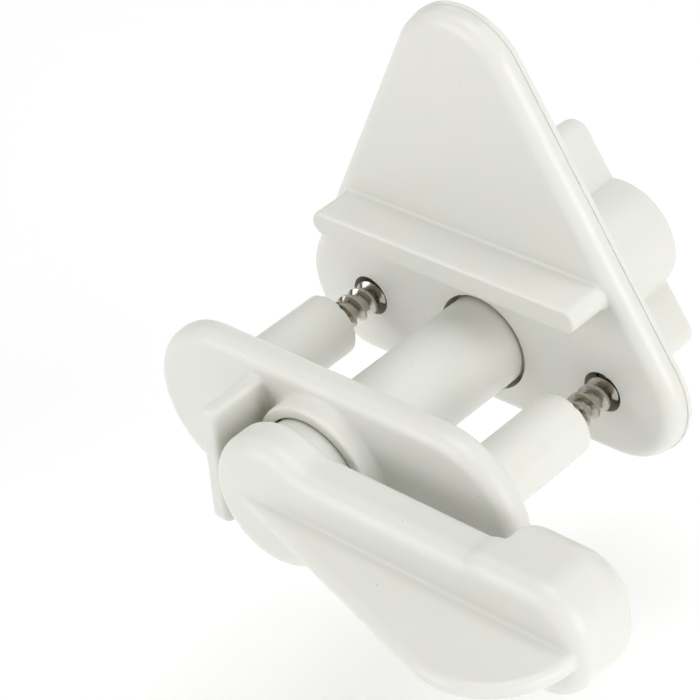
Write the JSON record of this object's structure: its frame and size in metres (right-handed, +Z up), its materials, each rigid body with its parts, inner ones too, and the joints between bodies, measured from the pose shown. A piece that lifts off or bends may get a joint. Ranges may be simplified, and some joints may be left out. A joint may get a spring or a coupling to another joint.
{
  "type": "stair gate latch",
  "caption": "Turn latch for a stair gate: lever with hook and thumb fin on an oblong plate, sleeve and bosses through the gate, triangular back plate with a rail ledge, winged knob behind.",
  "frame": {"origin": "on the spindle axis, in the face of the front plate that rests on the gate", "axes": "+X along the front plate towards the lever's hook, +Y along the spindle from the lever side to the knob side, +Z up"},
  "size_m": [0.1017, 0.1047, 0.0808],
  "materials": {
    "white_plastic": "moulded warm white, semi-gloss",
    "nickel_steel": "bright nickel plating",
    "spring_steel": "drawn wire"
  },
  "bodies": {
    "front": {"front_plate": "white_plastic", "return_spring": "spring_steel"},
    "back": {"back_plate": "white_plastic"},
    "left_screw": {"left_plate_screw": "nickel_steel"},
    "right_screw": {"right_plate_screw": "nickel_steel"},
    "pusher": {"spring_cup": "white_plastic"},
    "latch": {"lever": "white_plastic", "spindle": "white_plastic", "knob": "white_plastic", "knob_screw": "nickel_steel", "knob_washer": "nickel_steel"}
  },
  "joints": [
    {"name": "plate_clamp", "type": "slide", "parent": "front", "child": "back", "axis": [0, -1, 0], "range_m": [0, 0.0092]},
    {"name": "left_screw_turn", "type": "hinge", "parent": "back", "child": "left_screw", "pos_m": [-0.025, 0.0326, 0], "axis": [0, -1, 0], "range_deg": [0, 1325.8]},
    {"name": "right_screw_turn", "type": "hinge", "parent": "back", "child": "right_screw", "pos_m": [0.025, 0.0326, 0], "axis": [0, -1, 0], "range_deg": [0, 1325.8]},
    {"name": "lever_push", "type": "slide", "parent": "front", "child": "pusher", "axis": [0, 1, 0], "range_m": [0, 0.0022], "stiffness_N_per_m": 1500, "springref_m": -0.002, "deforming": ["return_spring"]},
    {"name": "latch_turn", "type": "hinge", "parent": "pusher", "child": "latch", "pos_m": [0, 0, 0], "axis": [0, 1, 0], "range_deg": [-100, 100]}
  ],
  "couplings": [
    {"joint": "left_screw_turn", "follows": "plate_clamp", "rad_per_m": 2513.3},
    {"joint": "right_screw_turn", "follows": "plate_clamp", "rad_per_m": 2513.3}
  ]
}
